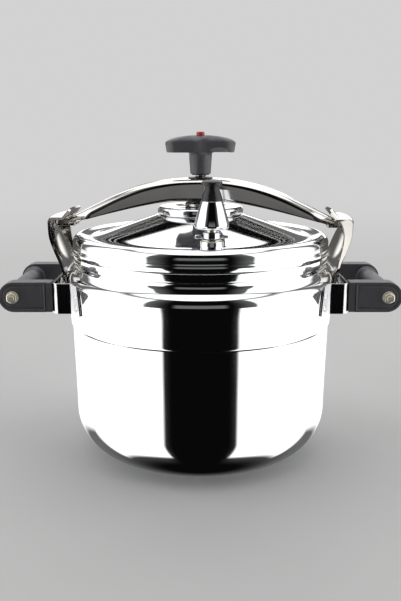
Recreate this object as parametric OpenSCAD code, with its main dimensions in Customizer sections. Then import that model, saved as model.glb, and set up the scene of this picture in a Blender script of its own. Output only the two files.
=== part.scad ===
// Pressure canner with a screw-down yoke lid. Millimetres, +Z up, base on z = 0,
// +X to the right, front of the pot towards -Y.

/* [Pot] */
// Outside diameter of the pot wall at the pressed seam
pot_d = 279; // [225:1:340]
// Height of the pot from the base to its rim
pot_h = 226.5; // [185:0.5:280]
// Wall thickness of the pot
pot_wall = 3.0; // [2:0.1:4]
// Radius of the large corner between base and wall
corner_r = 50; // [30:1:60]

/* [Lid] */
// Rise of the cone from the rim of the lid to the flat centre
cone_rise = 20.5; // [12:0.5:26]
// Thickness of the lid
lid_t = 2.6; // [2:0.1:3.2]
// Diameter of the raised pressure disc at the centre of the lid
boss_d = 91; // [70:1:100]
// Height of the pressure disc
boss_h = 9.2; // [6:0.2:10]

/* [Yoke] */
// Width of the pressed yoke channel
yoke_w = 40; // [34:1:46]
// Height of the flat top of the yoke above the pressure disc
yoke_rise = 28.8; // [25:0.2:36]
// Sheet thickness of the yoke
yoke_t = 2.6; // [2:0.1:3.2]
// Turn of the yoke about the vertical axis in the closed position
yoke_yaw = -4; // [-6:0.5:4]

/* [Hooks and brackets] */
// Sheet thickness of the hooks
hook_t = 2.5; // [2:0.1:3]
// Half width of a hook
hook_half = 41; // [36:1:44]
// Sheet thickness of the handle brackets
brk_t = 2.0; // [1.5:0.1:2.5]

/* [Handles] */
// Distance between the outer faces of the two arms of one handle
arm_span = 124; // [112:1:130]
// Thickness of one handle arm
arm_t = 16; // [12:0.5:18]
// Height of a handle arm
arm_h = 31; // [27:0.5:34]
// Length of a handle arm from its bracket to its rounded end
arm_l = 55; // [48:1:70]
// Diameter of the round grip bar
grip_d = 21; // [17:0.5:25]

/* [Knob and screw] */
// Length of the T knob across its two wings
knob_l = 75; // [60:1:90]
// Diameter of the clamping screw
screw_d = 12; // [10:0.5:14]

/* [Valve] */
// Distance of the weighted valve from the centre of the lid
valve_r = 100.5; // [88:0.5:104]
// Direction of the weighted valve, measured from +X
valve_az = -83.9; // [-96:0.1:-78]
// Largest diameter of the weight
weight_d = 33.4; // [28:0.2:36]

/* [Hidden] */
$fn = 96;
R = pot_d / 2;
zt = pot_h;
zb = zt + 11 + cone_rise;          // flat centre of the lid
zd = zb + boss_h;                  // top of the pressure disc
zy = zd + yoke_rise;               // flat top of the yoke
zk = zy + 4.7;                     // lower end of the knob stem
za = zt - 46.5;                    // handle arm axis
cone_in = boss_d / 2 + 0.5;
cone_out = R - 35.5;                // foot of the cone, inside the brim
brk_x = R + 11.3;                  // outer face of the bracket web
arm_x = brk_x + arm_l;             // outer end of a handle arm
bolt_x = arm_x - arm_h / 2 + 1;    // through bolt of the grip
ya = arm_span / 2;
safe_r = 86;
safe_az = 97;

function arc(cx, cy, r, a0, a1, n) =
  [for (i = [0:n]) [cx + r * cos(a0 + (a1 - a0) * i / n), cy + r * sin(a0 + (a1 - a0) * i / n)]];
function wall_r(z) = R + 2.2 + 1.6 * (z - (zt - 61)) / 19;
function cone_z(r) = zb - (cone_rise - 1.2) * (r - cone_in) / (cone_out - cone_in);
valve_z = cone_z(valve_r - 11) + 0.2;  // top of the valve's pad
safe_z = cone_z(safe_r - 11) + 0.2;
wall_lean = atan(1.6 / 19);         // the shoulder leans out by this
zh = zt + 28.2;                    // underside of the hook plates
ze = zh + 0.1;                     // top of the yoke at its ends
yl = R + 1.5;                      // half length of the yoke channel

module at_valve() { rotate([0, 0, valve_az]) translate([valve_r, 0, 0]) rotate([0, 0, -valve_az]) children(); }
module at_safe() { rotate([0, 0, safe_az]) translate([safe_r, 0, 0]) children(); }
module left() { mirror([1, 0, 0]) children(); }

// ---- pot --------------------------------------------------------------------
module pot_body() {
  w = pot_wall;
  color([0.80, 0.80, 0.81])
  difference() {
    rotate_extrude() polygon(concat(
      [[0, 0]],
      arc(R - 2.5 - corner_r, corner_r, corner_r, -90, 0, 9),
      [[R - 0.2, zt - 82], [R + 0.9, zt - 81.3], [R + 1.3, zt - 79.5], [R + 2.2, zt - 61],
       [R + 3.8, zt - 42]],
      arc(R - 9.2, zt - 40, 13, 0, 56, 5),
      [[R - 4.2, zt - 25.3], [R - 5.2, zt - 23.4], [R - 5.6, zt - 21], [R - 5.1, zt - 18.7],
       [R - 4, zt - 17.2], [R - 3.5, zt - 16.2], [R - 3.5, zt - 9], [R - 4.2, zt - 8.2],
       [R - 6.7, zt - 8.2], [R - 6.7, zt - 0.6], [R - 7.3, zt], [R - 9.1, zt],
       [R - 9.7, zt - 0.6], [R - 9.7, zt - 17]],
      [[R - 5.6 - w, zt - 21], [R - 5.2 - w, zt - 24.4]],
      arc(R - 9.2, zt - 40, 13 - w, 50, 0, 5),
      [[R + 3.8 - w, zt - 42], [R + 2.2 - w, zt - 61], [R + 1.3 - w, zt - 79.5],
       [R - 0.2 - w, zt - 82], [R - 2.5 - w, corner_r]],
      arc(R - 2.5 - corner_r, corner_r, corner_r - w, -10, -90, 8),
      [[0, w]]));
    hook_holes(0);
    hook_holes(180);
    brk_holes(0);
    brk_holes(180);
  }
}

// ---- hooks ------------------------------------------------------------------
function hook_out() = concat(
  [[wall_r(zt - 60) + hook_t, zt - 60], [R + 3.9 + hook_t, zt - 41], [R + 8.1 + hook_t, zt - 20.5],
   [R + 15.4 + hook_t, zt - 0.8], [R + 18.8 + hook_t, zt + 11.2], [R + 19.6 + hook_t, zt + 24]],
  arc(R + 17.1, zh - 2.5, 2.5 + hook_t, 0, 90, 5),
  [[R + 7.2, zh + hook_t], [R + 0.6, zh + 6.9 + hook_t], [R - 1.2, zh + 5.1 + hook_t],
   [R + 6.1, zh]]);
module hook_sheet() {
  rotate([0, 0, -20]) rotate_extrude(angle = 40) polygon(concat(hook_out(),
    arc(R + 17.1, zh - 2.5, 2.5, 90, 0, 4),
    [[R + 19.6, zt + 24], [R + 18.75, zt + 11.5], [R + 15.4, zt - 0.2], [R + 8.1, zt - 20.1],
     [R + 3.8, zt - 42], [wall_r(zt - 60), zt - 60]]));
}
module hook_flange() {
  rotate([0, 0, -20]) rotate_extrude(angle = 40) polygon(concat(hook_out(),
    [[R + 8.5, zh], [R + 10.9, zt + 23.5], [R + 12.6, zt + 17], [R + 12.9, zt + 10],
     [R + 12.1, zt + 2], [R + 10.2, zt - 7], [R + 8.3, zt - 15.5], [R + 7.6, zt - 22]]));
}
module hook_one() {
  h = hook_half;
  color([0.74, 0.73, 0.71])
  difference() {
    union() {
      intersection() {
        hook_sheet();
        rotate([90, 0, 90]) linear_extrude(R + 40) polygon([
          [-h + 5, zt - 61], [-h, zt - 46], [-h, zt + 30], [-h + 2, zt + 34], [-h + 8, zt + 40],
          [h - 22, zt + 40], [h - 19, zt + 34], [h - 16.5, zt + 31], [h - 14, zt + 26],
          [h - 9, zt + 18], [h - 2, zt + 8], [h, zt], [h, zt - 46], [h - 5, zt - 61]]);
      }
      intersection() {
        hook_flange();
        translate([0, -h, zt - 22]) cube([R + 40, 2.5, 60]);
      }
    }
    hook_holes(0);
  }
}
module hook_right() { hook_one(); }
module hook_left() { rotate([0, 0, 180]) hook_one(); }
module at_rivet(a, z) {
  // outward from the wall, square to its lean, at angle a and height z
  rotate([0, 0, a]) translate([wall_r(z), 0, z]) rotate([0, 90 + wall_lean, 0]) children();
}
module rivet(t, gap = 0.05) {
  // shank through the wall and a sheet of thickness t, flat head inside, domed head outside
  w = pot_wall + gap;
  rotate_extrude() polygon(concat([[0, -w - 1.05], [3.6, -w - 1.05], [3.6, -w], [2, -w], [2, t]],
    arc(0, t - 3.1, 4.6, 42.4, 90, 5)));
}
module rivet_hole() { translate([0, 0, -12]) cylinder(r = 2, h = 24); }
module hook_spots() { for (a = [-11, 11], z = [zt - 55, zt - 46.5]) at_rivet(a, z) children(); }
module hook_holes(a) { rotate([0, 0, a]) hook_spots() rivet_hole(); }
module hook_rivets() {
  color([0.80, 0.80, 0.80])
  hook_spots() rivet(hook_t);
}
module hook_rivets_right() { hook_rivets(); }
module hook_rivets_left() { rotate([0, 0, 180]) hook_rivets(); }

// ---- handle brackets --------------------------------------------------------
brk_a = asin((ya + 1.5) / (R + 3));
module brk_spots() {
  for (s = [-1, 1], z = [za - 8.5, za + 3.5]) at_rivet(s * (brk_a + 3.6), z) children();
}
module brk_holes(a) { rotate([0, 0, a]) brk_spots() rivet_hole(); }
module bracket_right() {
  z0 = za - 13.5;
  color([0.70, 0.70, 0.70])
  difference() {
    union() {
      // web behind the arms
      translate([brk_x - brk_t, -ya - 1.5, za - 17]) cube([brk_t, 2 * ya + 3, 31.5]);
      // side flanges down to the wall
      difference() {
        for (s = [-1, 1])
          translate([R - 30, s * (ya + 1.5) - (s > 0 ? brk_t : 0), za - 17])
            cube([brk_x - R + 30, brk_t, 31.5]);
        rotate_extrude() polygon([[0, zt - 70], [wall_r(zt - 70), zt - 70],
          [wall_r(zt - 30), zt - 30], [0, zt - 30]]);
      }
      // feet against the wall
      for (s = [-1, 1])
        rotate([0, 0, s > 0 ? brk_a - 0.4 : -brk_a - 5.6]) rotate_extrude(angle = 6)
          polygon([[wall_r(z0), z0], [wall_r(z0) + brk_t, z0],
            [wall_r(za + 9) + brk_t, za + 9], [wall_r(za + 9), za + 9]]);
    }
    brk_holes(0);
    for (s = [-1, 1], z = [za - 8, za + 7])
      translate([brk_x - 10, s * (ya - arm_t / 2), z]) rotate([0, 90, 0]) cylinder(r = 2.5, h = 20);
  }
}
module bracket_left() { left() bracket_right(); }
module bracket_rivets_right() {
  color([0.80, 0.80, 0.80])
  // the wall curves away from the upper heads inside, so they stand off by more
  for (s = [-1, 1]) {
    at_rivet(s * (brk_a + 3.6), za - 8.5) rivet(brk_t);
    at_rivet(s * (brk_a + 3.6), za + 3.5) rivet(brk_t, 0.65);
  }
}
module bracket_rivets_left() { left() bracket_rivets_right(); }

// ---- handles ----------------------------------------------------------------
module stadium(x0, x1, r) {
  union() {
    translate([x0, -r]) square([x1 - r - x0, 2 * r]);
    translate([x1 - r, 0]) circle(r = r);
  }
}
module arm_front() {
  h = arm_h / 2;
  color([0.20, 0.20, 0.22])
  translate([0, -ya, za])
  difference() {
    rotate([90, 0, 0]) translate([0, 0, -arm_t]) linear_extrude(arm_t) stadium(brk_x, arm_x, h);
    // groove that sets the raised rim apart from the field
    rotate([90, 0, 0]) translate([0, 0, -2.2]) linear_extrude(4) difference() {
      stadium(brk_x + 9, arm_x - 2.6, h - 2.6);
      stadium(brk_x + 8, arm_x - 4.2, h - 4.2);
    }
    // notch between the rim and the root block
    translate([brk_x + 5.5, -1, -h - 1]) cube([3, 6, 4]);
    translate([bolt_x, -1, 0]) rotate([-90, 0, 0]) cylinder(r = 3, h = arm_t + 2);
    // socket for the end of the grip
    translate([bolt_x, arm_t - 2.5, 0]) rotate([-90, 0, 0]) cylinder(r = grip_d / 2, h = 5);
    arm_screw_holes();
  }
}
module arm_screw_holes() {
  for (z = [-8, 7])
    translate([brk_x - 10, arm_t / 2, z]) rotate([0, 90, 0]) cylinder(r = 2.5, h = 28);
}
module arm_right_front() { arm_front(); }
module arm_right_rear() { mirror([0, 1, 0]) arm_front(); }
module arm_left_front() { left() arm_front(); }
module arm_left_rear() { left() mirror([0, 1, 0]) arm_front(); }
module grip_right() {
  g = ya - arm_t;
  color([0.20, 0.20, 0.22])
  translate([bolt_x, 0, za]) rotate([-90, 0, 0])
  rotate_extrude() polygon([[3, -g - 2.5], [grip_d / 2, -g - 2.5], [grip_d / 2, -g],
    [grip_d / 2 + 2.6, -g], [grip_d / 2 + 2.6, -g + 1.5], [grip_d / 2 + 0.6, -g + 4],
    [grip_d / 2, -g + 9], [grip_d / 2 + 0.4, 0], [grip_d / 2, g - 9], [grip_d / 2 + 0.6, g - 4],
    [grip_d / 2 + 2.6, g - 1.5], [grip_d / 2 + 2.6, g], [grip_d / 2, g], [grip_d / 2, g + 2.5],
    [3, g + 2.5]]);
}
module grip_left() { left() grip_right(); }
module grip_bolt_right() {
  color([0.78, 0.77, 0.72])
  translate([bolt_x, 0, za]) {
    translate([0, -ya - 7.6, 0]) rotate([-90, 0, 0]) cylinder(r = 3, h = 2 * ya + 8);
    translate([0, ya, 0]) rotate([-90, 0, 0]) cylinder(r = 5.8, h = 4, $fn = 6);
  }
}
module grip_bolt_left() { left() grip_bolt_right(); }
module grip_nut_right() {
  color([0.78, 0.77, 0.72])
  translate([bolt_x, -ya, za]) difference() {
    union() {
      translate([0, -1.2, 0]) rotate([-90, 0, 0]) cylinder(r = 6.3, h = 1.2);
      translate([0, -6, 0]) rotate([-90, 0, 0]) cylinder(r = 5.75, h = 4.8, $fn = 6);
    }
    translate([0, -10, 0]) rotate([-90, 0, 0]) cylinder(r = 3, h = 12);
  }
}
module grip_nut_left() { left() grip_nut_right(); }
module arm_screws_right() {
  color([0.75, 0.75, 0.75])
  for (s = [-1, 1], z = [za - 8, za + 7])
    translate([brk_x, s * (ya - arm_t / 2), z]) rotate([0, 90, 0]) {
      translate([0, 0, -brk_t]) cylinder(r = 2.5, h = 17);
      translate([0, 0, -brk_t - 2.4]) cylinder(r = 4.3, h = 2.4);
    }
}
module arm_screws_left() { left() arm_screws_right(); }

// ---- lid --------------------------------------------------------------------
module lid() {
  t = lid_t;
  color([0.82, 0.82, 0.83])
  difference() {
    union() {
      rotate_extrude() polygon(concat(
        [[0, zb - t], [0, zb], [cone_in, zb], [cone_out, zt + 12.2], [R - 31, zt + 10.95],
         [R - 27.5, zt + 10.3], [R - 22.5, zt + 10], [R - 18.5, zt + 10.5], [R - 15, zt + 11.6]],
        arc(R - 11.5, zt + 4.1, 8.5, 100, 0, 9),
        [[R - 3, zt - 1], [R - 2.6, zt - 1.6], [R - 2.3, zt - 3.6], [R - 2.6, zt - 5.9],
         [R - 3.1, zt - 7.5], [R - 5.6, zt - 7.5], [R - 5.6, zt + 6.5]],
        arc(R - 8, zt + 6.5, 2.4, 15, 90, 3),
        [[R - 12.2, zt + 8.9], [R - 15, zt + 8.7], [R - 18.5, zt + 10.5 - t], [R - 22.5, zt + 9.95 - t],
         [R - 28, zt + 10.3 - t], [cone_out - 1, zt + 12.2 - t], [cone_in, zb - t]]));
      at_valve() translate([0, 0, valve_z - 9]) cylinder(r = 11, h = 9);
      at_safe() translate([0, 0, safe_z - 9]) cylinder(r = 11, h = 9);
    }
    at_valve() {
      translate([0, 0, valve_z - 20]) cylinder(r = 9.5, h = 20 - 3);
      translate([0, 0, valve_z - 20]) cylinder(r = 5, h = 30);
    }
    at_safe() {
      translate([0, 0, safe_z - 20]) cylinder(r = 9.5, h = 20 - 3);
      translate([0, 0, safe_z - 20]) cylinder(r = 5, h = 30);
    }
  }
}
module lid_gasket() {
  color([0.13, 0.13, 0.14])
  rotate_extrude() polygon([[R - 11.9, zt + 2.2], [R - 10.4, zt + 1.6], [R - 9.6, zt + 0.03],
    [R - 6.3, zt + 0.03], [R - 5.7, zt + 1], [R - 5.7, zt + 6.4], [R - 6.1, zt + 7.9],
    [R - 7.9, zt + 8.85], [R - 11.9, zt + 8.85], [R - 11.9, zt + 6.4], [R - 8.6, zt + 6.2],
    [R - 8.6, zt + 3.2], [R - 11.9, zt + 3.4]]);
}
module pressure_disc() {
  b = boss_d / 2;
  color([0.82, 0.82, 0.83])
  rotate_extrude() polygon(concat([[0, zb], [b - 2, zb]],
    arc(b - 2.2, zb + 2.4, 2.2, -60, 0, 3),
    arc(b - 3, zd - 3.2, 3, 0, 90, 5),
    [[b - 8, zd - 0.2], [25, zd - 0.2], [24, zd - 0.8], [0, zd - 0.8]]));
}

// ---- weighted valve ---------------------------------------------------------
module valve_stem() {
  color([0.76, 0.70, 0.52])
  at_valve() union() {
    translate([0, 0, valve_z - 10.5]) cylinder(r = 5, h = 10.5);
    translate([0, 0, valve_z]) rotate_extrude() polygon([[0, 0], [9, 0], [9, 1.2], [5, 1.6],
      [5, 11.1], [4.2, 11.9], [3, 13.9], [3, 36.9], [1.2, 39.9], [0, 39.9]]);
  }
}
module valve_ring() {
  color([0.74, 0.74, 0.75])
  at_valve() difference() {
    union() {
      translate([0, 0, valve_z + 1.7]) cylinder(r = 8, h = 6.6);
      translate([-16, 0, valve_z + 3.7]) rotate([0, 90, 0]) cylinder(r = 1.9, h = 32);
    }
    translate([0, 0, valve_z]) cylinder(r = 5, h = 12);
  }
}
module valve_seal() {
  color([0.12, 0.12, 0.12])
  at_valve() translate([0, 0, valve_z - 4.5]) difference() {
    cylinder(r = 8.6, h = 1.5);
    translate([0, 0, -1]) cylinder(r = 5, h = 4);
  }
}
module valve_nut() {
  color([0.76, 0.70, 0.52])
  at_valve() translate([0, 0, valve_z - 9.5]) difference() {
    cylinder(r = 8.6, h = 5, $fn = 6);
    translate([0, 0, -1]) cylinder(r = 5, h = 8);
  }
}
w0 = valve_z + 11.3;
module weight_skirt() {
  q = weight_d / 2;
  color([0.80, 0.80, 0.80])
  at_valve() translate([0, 0, w0]) rotate_extrude() polygon([[q - 4.5, 0], [q - 1.2, 0.8],
    [q, 3.2], [q - 0.1, 5], [10.5, 26.2], [8.6, 26.2], [8.6, 24], [q - 5, 4]]);
}
module weight_cover() {
  color([0.07, 0.07, 0.08])
  at_valve() translate([0, 0, w0]) rotate_extrude() polygon([[3.06, 8], [7.6, 8], [7.6, 24],
    [8.6, 24], [8.6, 26.2], [10.4, 26.2], [9.5, 30], [7.7, 35.5], [6.3, 38.8], [6.0, 40.5],
    [0, 40.5], [0, 28.8], [1.3, 28.65], [3.06, 25.9]]);
}
module weight_cap() {
  color([0.07, 0.07, 0.08])
  at_valve() translate([0, 0, w0 + 40.5]) rotate_extrude() polygon([[0, 0], [6.0, 0], [9.2, 0.6],
    [10.1, 2], [9.6, 3.6], [6.5, 5], [2.5, 5.7], [0, 5.8]]);
}

// ---- safety valve -----------------------------------------------------------
module safety_body() {
  color([0.76, 0.70, 0.52])
  at_safe() difference() {
    union() {
      translate([0, 0, safe_z - 10]) cylinder(r = 5, h = 10);
      translate([0, 0, safe_z]) cylinder(r = 9, h = 3, $fn = 6);
      translate([0, 0, safe_z + 3]) cylinder(r = 6.4, h = 1.4);
    }
    translate([0, 0, safe_z - 11]) cylinder(r = 2.05, h = 20);
  }
}
module safety_seal() {
  color([0.12, 0.12, 0.12])
  at_safe() translate([0, 0, safe_z - 4.5]) difference() {
    cylinder(r = 8.6, h = 1.5);
    translate([0, 0, -1]) cylinder(r = 5, h = 4);
  }
}
module safety_nut() {
  color([0.76, 0.70, 0.52])
  at_safe() translate([0, 0, safe_z - 9]) difference() {
    cylinder(r = 8.2, h = 4.5, $fn = 6);
    translate([0, 0, -1]) cylinder(r = 5, h = 7);
  }
}
module safety_pin() {
  color([0.75, 0.12, 0.10])
  at_safe() union() {
    translate([0, 0, safe_z - 12]) cylinder(r = 2, h = 17);
    translate([0, 0, safe_z + 4.5]) cylinder(r = 3.6, h = 1.6);
    translate([0, 0, safe_z - 13.6]) cylinder(r = 3.4, h = 1.6);
  }
}

// ---- yoke -------------------------------------------------------------------
ya_s = 25.9;                        // slope of the yoke arms
yx0 = 10;                          // half length of the level middle
yr = ((yl - yx0) * tan(ya_s) - (zy - ze)) / (sin(ya_s) * tan(ya_s) - 1 + cos(ya_s));
yx1 = yx0 + yr * sin(ya_s);        // where the arch runs out into a straight arm
function yoke_top(x) = abs(x) < yx0 ? 0
  : abs(x) < yx1 ? sqrt(yr * yr - pow(abs(x) - yx0, 2)) - yr
  : -yr * (1 - cos(ya_s)) - (abs(x) - yx1) * tan(ya_s);
module yoke_roof(t, c) {
  // everything below the arched top, tilted down by t degrees towards +Y
  translate([0, 0, zy]) rotate([-t, 0, 0]) rotate([90, 0, 0]) translate([0, 0, -120])
    linear_extrude(240) polygon(concat([[-yl - 8, -200], [yl + 8, -200]],
      [for (i = [13:-1:-13]) let (x = i * (yl + 8) / 13) [x, (yoke_top(x) + c) * cos(t)]]));
}
module yoke_pair(t, h, q, d) {
  c = -d - q + q / cos(t) + (h - q) * tan(t);
  intersection() {
    yoke_roof(t, c);
    mirror([0, 1, 0]) yoke_roof(t, c);
  }
}
module yoke_skin(h, q, d) {
  // half width h, rounded long edges of radius q, lowered by d
  intersection() {
    yoke_roof(0, -d);
    yoke_pair(22.5, h, q, d);
    yoke_pair(45, h, q, d);
    yoke_pair(67.5, h, q, d);
    translate([-yl - 20, -h, zt]) cube([2 * yl + 40, 2 * h, 150]);
  }
}
module yoke_above() {
  b0 = zd + 6.2;
  b1 = zh - 7;
  polygon(concat([[-yl, zy + 20], [yl, zy + 20]],
    [for (q = [[1, 1], [0.69, 0.574], [0.39, 0.147], [0.25, 0]]) [q[0] * yl, b0 + (b1 - b0) * q[1]]],
    [for (q = [[0.25, 0], [0.39, 0.147], [0.69, 0.574], [1, 1]]) [-q[0] * yl, b0 + (b1 - b0) * q[1]]]));
}
module yoke_plan(g) {
  h = yoke_w / 2 - g;
  polygon([[-yl - 1 + g, -h + 6], [-yl + 3, -h + 4], [-yl + 24, -h], [yl - 24, -h],
    [yl - 3, -h + 4], [yl + 1 - g, -h + 6], [yl + 1 - g, h - 6], [yl - 3, h - 4], [yl - 24, h],
    [-yl + 24, h], [-yl + 3, h - 4], [-yl - 1 + g, h - 6]]);
}
module yoke() {
  color([0.76, 0.75, 0.73])
  rotate([0, 0, yoke_yaw])
  difference() {
    union() {
      difference() {
        intersection() {
          yoke_skin(yoke_w / 2, 6, 0);
          rotate([90, 0, 0]) translate([0, 0, -40]) linear_extrude(80) yoke_above();
          translate([0, 0, zt]) linear_extrude(120) yoke_plan(0);
        }
        intersection() {
          yoke_skin(yoke_w / 2 - yoke_t, 6 - yoke_t, yoke_t);
          translate([0, 0, zt]) linear_extrude(120) yoke_plan(yoke_t);
        }
      }
      // tongues that slide under the hooks
      for (m = [0, 1]) mirror([m, 0, 0])
        translate([0, 0, zh - 9.3]) linear_extrude(9) union() {
          translate([yl - 8, -12]) square([20, 24]);
          translate([yl + 12, -8]) square([4, 16]);
          for (s = [-1, 1]) translate([yl + 12, s * 8]) circle(r = 4);
        }
    }
    translate([0, 0, zy - 10]) cylinder(r = 11, h = 20);
  }
}
module yoke_bush() {
  color([0.70, 0.66, 0.52])
  difference() {
    union() {
      translate([0, 0, zy - yoke_t - 8]) cylinder(r = 14, h = 8, $fn = 6);
      translate([0, 0, zy - yoke_t]) cylinder(r = 11, h = yoke_t);
      translate([0, 0, zy]) cylinder(r = 13, h = 1.2);
    }
    translate([0, 0, zy - 20]) cylinder(d = screw_d + 0.1, h = 40);
  }
}

// ---- screw, foot and knob ---------------------------------------------------
module pressure_foot() {
  color([0.72, 0.72, 0.72])
  difference() {
    translate([0, 0, zd - 0.75]) rotate_extrude() polygon([[0, 0], [15.6, 0], [16.5, 0.9],
      [16.5, 3.2], [15, 4.6], [9, 7.4], [0, 7.4]]);
    translate([0, 0, zd + 1.2]) cylinder(r = screw_d / 2 - 0.95, h = 10);
  }
}
module foot_clip() {
  color([0.30, 0.30, 0.31])
  difference() {
    translate([0, 0, zd + 6.75]) cylinder(r = 8, h = 1.2);
    translate([0, 0, zd + 6]) cylinder(r = screw_d / 2 - 1, h = 3);
  }
}
module clamp_screw() {
  color([0.66, 0.66, 0.66])
  union() {
    translate([0, 0, zd + 1.25]) cylinder(r = screw_d / 2 - 1, h = 8);
    translate([0, 0, zd + 9.2]) cylinder(d = screw_d, h = zk - zd - 9.2 + 24);
  }
}
module screw_washer() {
  color([0.55, 0.55, 0.56])
  translate([0, 0, zk - 1]) difference() {
    cylinder(r = 9.2, h = 1);
    translate([0, 0, -1]) cylinder(d = screw_d, h = 3);
  }
}
module knob() {
  k = knob_l / 2;
  zw = zk + 22.4;
  color([0.22, 0.22, 0.24])
  difference() {
    union() {
      translate([0, 0, zk]) rotate_extrude() polygon([[0, 0], [10.9, 0], [11.4, 8], [12.2, 22.4],
        [15.5, 26], [17, 30], [16, 36], [0, 40.3]]);
      intersection() {
        translate([0, 0, zw]) rotate_extrude() polygon([[0, -1], [k - 4, 0], [k - 1.5, 1.4],
          [k, 4.5], [k - 0.3, 8.2], [k - 4, 11.2], [k - 16, 15.2], [8, 17.6], [0, 17.9]]);
        translate([0, 0, zk]) linear_extrude(50) union() {
          translate([-k + 12, -12.5]) square([2 * k - 24, 25]);
          for (s = [-1, 1]) translate([s * (k - 12.5), 0]) circle(r = 12.5);
        }
      }
    }
    // finger scoops below opposite sides of the two wings
    for (a = [0, 180]) rotate([0, 0, a])
      translate([20.5, -16, zw - 5]) rotate([-58, 0, 0]) cylinder(r = 11.5, h = 40, center = true);
    translate([0, 0, zk - 1]) cylinder(d = screw_d, h = 25);
    translate([0, 0, zk + 36]) cylinder(r = 4.2, h = 10);
  }
}
module knob_cap() {
  color([0.72, 0.08, 0.08])
  translate([0, 0, zk + 36]) rotate_extrude() polygon([[0, 0], [4.2, 0], [4.2, 6.4], [3.4, 7.4],
    [1.5, 7.9], [0, 8]]);
}

pot_body();
hook_left();
hook_right();
hook_rivets_left();
hook_rivets_right();
bracket_left();
bracket_right();
bracket_rivets_left();
bracket_rivets_right();
arm_left_front();
arm_left_rear();
arm_right_front();
arm_right_rear();
grip_left();
grip_right();
grip_bolt_left();
grip_bolt_right();
grip_nut_left();
grip_nut_right();
arm_screws_left();
arm_screws_right();
lid();
lid_gasket();
pressure_disc();
valve_stem();
valve_ring();
valve_seal();
valve_nut();
weight_skirt();
weight_cover();
weight_cap();
safety_body();
safety_seal();
safety_nut();
safety_pin();
yoke();
yoke_bush();
pressure_foot();
foot_clip();
clamp_screw();
screw_washer();
knob();
knob_cap();
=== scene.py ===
import math

import bmesh
import bpy
from mathutils import Matrix, Vector, geometry


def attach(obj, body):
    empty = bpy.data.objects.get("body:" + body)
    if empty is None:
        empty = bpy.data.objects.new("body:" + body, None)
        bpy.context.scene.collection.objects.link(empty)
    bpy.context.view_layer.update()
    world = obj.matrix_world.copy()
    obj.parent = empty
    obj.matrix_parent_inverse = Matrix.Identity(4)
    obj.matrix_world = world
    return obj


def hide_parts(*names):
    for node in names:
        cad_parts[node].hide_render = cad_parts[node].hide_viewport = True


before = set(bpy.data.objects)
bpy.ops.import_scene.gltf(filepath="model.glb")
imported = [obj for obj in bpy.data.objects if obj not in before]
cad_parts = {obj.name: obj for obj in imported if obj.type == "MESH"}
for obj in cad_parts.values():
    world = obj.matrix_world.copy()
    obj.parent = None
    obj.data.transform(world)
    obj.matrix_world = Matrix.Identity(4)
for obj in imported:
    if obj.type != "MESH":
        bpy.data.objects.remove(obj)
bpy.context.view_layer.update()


# ---- Pot ---------------------------------------------------------------------------
# One deep-drawn aluminium shell with a wide rounded base corner, a pressed step round
# its middle, a rolled shoulder and a machined neck, buffed to a mirror on a lathe.
mm = 0.001
pot_r = 139.5              # outside radius of the wall at the step
rim_z = 226.5              # top of the rim
pot_wall = 3.0
base_corner = 50.0
pot_base = 2.5             # the wall leans in this much down to the base corner


def arc(cx, cz, r, a0, a1, n):
    """Points on an arc, in mm, from angle a0 to a1 in degrees."""
    turn = [math.radians(a0 + (a1 - a0) * i / n) for i in range(n + 1)]
    return [(cx + r * math.cos(a), cz + r * math.sin(a)) for a in turn]


def flow(points, n=4):
    """A soft curve through the points, as pressed sheet metal takes."""
    p = [Vector((r, z, 0)) for r, z in points]
    out = [points[0]]
    for i in range(len(p) - 1):
        a, b = p[i], p[i + 1]
        span = (b - a).length
        before = (b - p[i - 1]).normalized() if i else (b - a).normalized()
        after = (p[i + 2] - a).normalized() if i + 2 < len(p) else (b - a).normalized()
        bend = geometry.interpolate_bezier(a, a + before * span / 3, b - after * span / 3, b, n + 1)
        out += [(q.x, q.y) for q in bend[1:]]
    return out


def turned(profile, steps=128, closed=False):
    """A mesh turned about Z from (radius, height) points in mm."""
    bm = bmesh.new()
    line = [bm.verts.new((r * mm, 0, z * mm)) for r, z in profile]
    for a, b in zip(line, line[1:] + line[:1] if closed else line[1:]):
        bm.edges.new((a, b))
    bmesh.ops.spin(bm, geom=bm.verts[:] + bm.edges[:], axis=(0, 0, 1), cent=(0, 0, 0),
                   angle=math.tau, steps=steps, use_merge=True)
    bmesh.ops.remove_doubles(bm, verts=bm.verts, dist=1e-6)
    bmesh.ops.recalc_face_normals(bm, faces=bm.faces)
    return bm


def piece(bm, name, body, material, nodes=(), sharp=32):
    """Makes the object, rides it on its body, and hides the CAD nodes it stands for."""
    for face in bm.faces:
        face.smooth = True
    for edge in bm.edges:
        if len(edge.link_faces) == 2 and edge.calc_face_angle(0) > math.radians(sharp):
            edge.smooth = False
    mesh = bpy.data.meshes.new(name)
    bm.to_mesh(mesh)
    bm.free()
    mesh.materials.append(material)
    obj = bpy.data.objects.new(name, mesh)
    bpy.context.collection.objects.link(obj)
    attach(obj, body)
    if nodes:
        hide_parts(*nodes)
    return obj


def srgb(code):
    """A linear colour from an sRGB hex value."""
    part = [int(code[i:i + 2], 16) / 255 for i in (1, 3, 5)]
    return tuple(c / 12.92 if c <= 0.04045 else ((c + 0.055) / 1.055) ** 2.4 for c in part) + (1,)


def put(tree, kind, values=None, links=None, **options):
    """Adds one node with its options, its input values and its links."""
    node = tree.nodes.new("ShaderNode" + kind)
    for key, value in options.items():
        setattr(node, key, value)
    for key, value in (values or {}).items():
        node.inputs[key].default_value = value
    for key, socket in (links or {}).items():
        tree.links.new(socket, node.inputs[key])
    return node


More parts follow.
